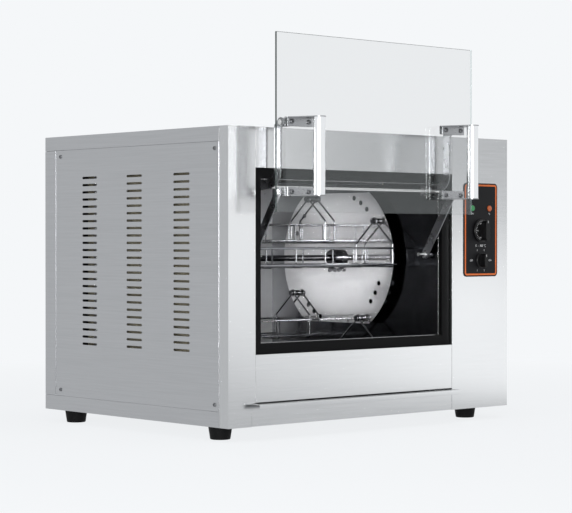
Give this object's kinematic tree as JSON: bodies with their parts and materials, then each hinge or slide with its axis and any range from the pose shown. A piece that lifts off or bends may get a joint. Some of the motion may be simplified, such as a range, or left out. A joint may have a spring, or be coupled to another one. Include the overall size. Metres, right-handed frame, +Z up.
{
  "type": "chicken rotisserie",
  "caption": "Countertop rotisserie oven: stainless cabinet, lift-up glass door on parallel arms, wire baskets carried between two discs, drip tray drawer and side control panel.",
  "frame": {"origin": "on the worktop, under the centre of the overall bounding box", "axes": "+X towards the control panel, along the rotor shaft; +Y towards the back; +Z up"},
  "size_m": [0.814, 0.7634, 0.7969],
  "materials": {
    "cabinet_steel": "satin stainless sheet, grain lengthwise",
    "cavity_steel": "polished stainless sheet",
    "disc_steel": "mirror-polished stainless sheet",
    "arm_steel": "brushed stainless bar",
    "bracket_steel": "brushed stainless plate",
    "handle_steel": "brushed stainless tube",
    "hub_steel": "turned stainless",
    "shaft_steel": "bright drawn stainless bar",
    "fastener_steel": "bright stainless fasteners",
    "wire_chrome": "bright chromed wire",
    "zinc_steel": "zinc-plated steel, dull",
    "heater_sheath": "heat-darkened nickel alloy tube",
    "bush_brass": "turned bronze, oiled",
    "motor_paint": "black enamel",
    "insulation_wool": "mineral wool with a white facing",
    "seal_rubber": "black silicone, matt",
    "black_rubber": "black moulded rubber",
    "panel_face": "black printed panel with an orange border line",
    "knob_plastic": "black moulded plastic",
    "switch_plastic": "black phenolic moulding",
    "terminal_plastic": "ivory ceramic-look moulding",
    "gland_plastic": "black nylon",
    "green_lens": "clear green lens",
    "orange_lens": "clear orange lens",
    "door_glass": "clear toughened glass with polished edges"
  },
  "bodies": {
    "cabinet": {"roof_panel": "cabinet_steel", "front_post_left": "cabinet_steel", "front_header": "cabinet_steel", "front_lower_panel": "cabinet_steel", "control_fascia": "cabinet_steel", "side_panel_left": "cabinet_steel", "side_panel_right": "cabinet_steel", "back_panel": "cabinet_steel", "base_tray": "cabinet_steel", "side_panel_screws": "fastener_steel", "rubber_feet": "black_rubber", "cavity_ceiling": "cavity_steel", "cavity_back_wall": "cavity_steel", "cavity_wall_left": "cavity_steel", "cavity_wall_right": "cavity_steel", "insulation_blankets": "insulation_wool", "door_seal": "seal_rubber", "tray_runners": "zinc_steel", "heater_upper": "heater_sheath", "heater_lower": "heater_sheath", "heater_clips": "zinc_steel", "control_panel": "panel_face", "thermostat_body": "zinc_steel", "selector_switch": "switch_plastic", "lamp_green": "green_lens", "lamp_orange": "orange_lens", "terminal_block": "terminal_plastic", "cable_gland": "gland_plastic", "arm_pivot_pins": "fastener_steel", "shaft_bushes": "bush_brass", "gear_motor": "motor_paint", "motor_bracket": "zinc_steel"},
    "thermostat_knob": {"thermostat_knob": "knob_plastic"},
    "selector_knob": {"selector_knob": "knob_plastic"},
    "drip_tray": {"drip_tray_pan": "cavity_steel", "drip_tray_front": "cabinet_steel"},
    "lower_arms": {"lower_arm_left": "arm_steel", "lower_arm_right": "arm_steel"},
    "upper_arms": {"upper_arm_left": "arm_steel", "upper_arm_right": "arm_steel", "tie_rod": "arm_steel"},
    "door": {"door_glass": "door_glass", "door_handle_left": "handle_steel", "door_handle_right": "handle_steel", "handle_brackets": "bracket_steel", "hinge_lugs": "bracket_steel", "door_screws": "fastener_steel", "door_cap_nuts": "fastener_steel", "door_hinge_pins": "fastener_steel"},
    "rotor": {"rotor_shaft": "shaft_steel", "rotor_disc_left": "disc_steel", "rotor_disc_right": "disc_steel", "disc_hubs": "hub_steel", "hub_thumb_screws": "fastener_steel", "basket_pins": "fastener_steel", "shaft_collars": "zinc_steel"},
    "basket_1": {"basket_1": "wire_chrome"},
    "basket_2": {"basket_2": "wire_chrome"},
    "basket_3": {"basket_3": "wire_chrome"},
    "basket_4": {"basket_4": "wire_chrome"}
  },
  "joints": [
    {"name": "door_lift", "type": "hinge", "parent": "cabinet", "child": "lower_arms", "pos_m": [-0.054, -0.20429, 0.3617], "axis": [1, 0, 0], "range_deg": [0, 141.85]},
    {"name": "upper_arm_swing", "type": "hinge", "parent": "cabinet", "child": "upper_arms", "pos_m": [-0.054, -0.20429, 0.4987], "axis": [1, 0, 0], "range_deg": [0, 141.85]},
    {"name": "door_level", "type": "hinge", "parent": "lower_arms", "child": "door", "pos_m": [-0.054, -0.28251, 0.48687], "axis": [1, 0, 0], "range_deg": [-141.85, 0]},
    {"name": "rotor_spin", "type": "hinge", "parent": "cabinet", "child": "rotor", "pos_m": [-0.054, 0.06171, 0.3527], "axis": [1, 0, 0], "continuous": true},
    {"name": "thermostat_turn", "type": "hinge", "parent": "cabinet", "child": "thermostat_knob", "pos_m": [0.317, -0.25229, 0.413], "axis": [0, -1, 0], "range_deg": [0, 270]},
    {"name": "selector_turn", "type": "hinge", "parent": "cabinet", "child": "selector_knob", "pos_m": [0.317, -0.25229, 0.348], "axis": [0, -1, 0], "range_deg": [-45, 45]},
    {"name": "drip_tray_slide", "type": "slide", "parent": "cabinet", "child": "drip_tray", "axis": [0, -1, 0], "range_m": [0, 0.45]},
    {"name": "basket_1_swing", "type": "hinge", "parent": "rotor", "child": "basket_1", "pos_m": [-0.054, -0.07216, 0.43473], "axis": [1, 0, 0], "continuous": true},
    {"name": "basket_2_swing", "type": "hinge", "parent": "rotor", "child": "basket_2", "pos_m": [-0.054, 0.14374, 0.48657], "axis": [1, 0, 0], "continuous": true},
    {"name": "basket_3_swing", "type": "hinge", "parent": "rotor", "child": "basket_3", "pos_m": [-0.054, 0.19557, 0.27067], "axis": [1, 0, 0], "continuous": true},
    {"name": "basket_4_swing", "type": "hinge", "parent": "rotor", "child": "basket_4", "pos_m": [-0.054, -0.02032, 0.21884], "axis": [1, 0, 0], "continuous": true}
  ],
  "couplings": [
    {"joint": "upper_arm_swing", "follows": "door_lift", "ratio": 1},
    {"joint": "door_level", "follows": "door_lift", "ratio": -1},
    {"joint": "basket_1_swing", "follows": "rotor_spin", "ratio": -1},
    {"joint": "basket_2_swing", "follows": "rotor_spin", "ratio": -1},
    {"joint": "basket_3_swing", "follows": "rotor_spin", "ratio": -1},
    {"joint": "basket_4_swing", "follows": "rotor_spin", "ratio": -1}
  ]
}
